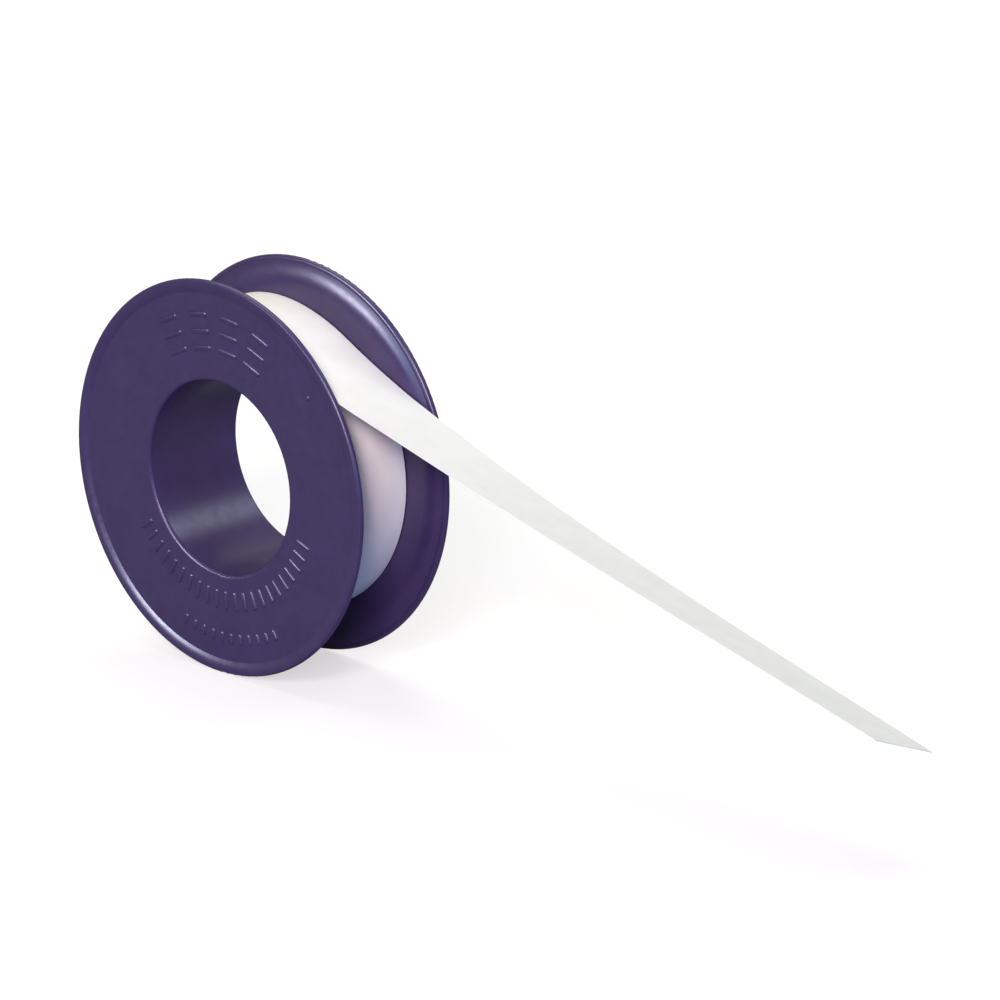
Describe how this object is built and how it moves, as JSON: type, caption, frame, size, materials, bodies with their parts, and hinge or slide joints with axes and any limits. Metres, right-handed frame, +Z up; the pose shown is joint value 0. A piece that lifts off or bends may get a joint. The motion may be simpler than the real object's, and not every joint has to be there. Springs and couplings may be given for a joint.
{
  "type": "roll of ptfe tape",
  "caption": "Roll of white thread seal tape on a dark flanged plastic spool with an open bore; pulling the free tail of tape turns the roll and draws more off.",
  "frame": {"origin": "centre of the spool's bore, half way between the flanges", "axes": "+Y along the bore from the front flange to the rear flange, +X the way the tail of tape is pulled, +Z up"},
  "size_m": [0.1326, 0.0154, 0.05],
  "materials": {
    "spool": "semi-gloss moulded dark indigo",
    "tape": "soft white film with a slight sheen"
  },
  "bodies": {
    "tape_run": {"tape_lead": "tape"},
    "roll": {"spool_front": "spool", "spool_rear": "spool", "tape_pack": "tape"},
    "pulled_end": {"tape_end": "tape"}
  },
  "joints": [
    {"name": "roll_spin", "type": "hinge", "parent": "tape_run", "child": "roll", "pos_m": [0, 0, 0], "axis": [0, 1, 0], "range_deg": [0, 300]},
    {"name": "tape_pull", "type": "slide", "parent": "tape_run", "child": "pulled_end", "axis": [1, 0, 0], "range_m": [0, 0.09922]}
  ],
  "couplings": [
    {"joint": "tape_pull", "follows": "roll_spin", "m_per_rad": 0.01895}
  ]
}
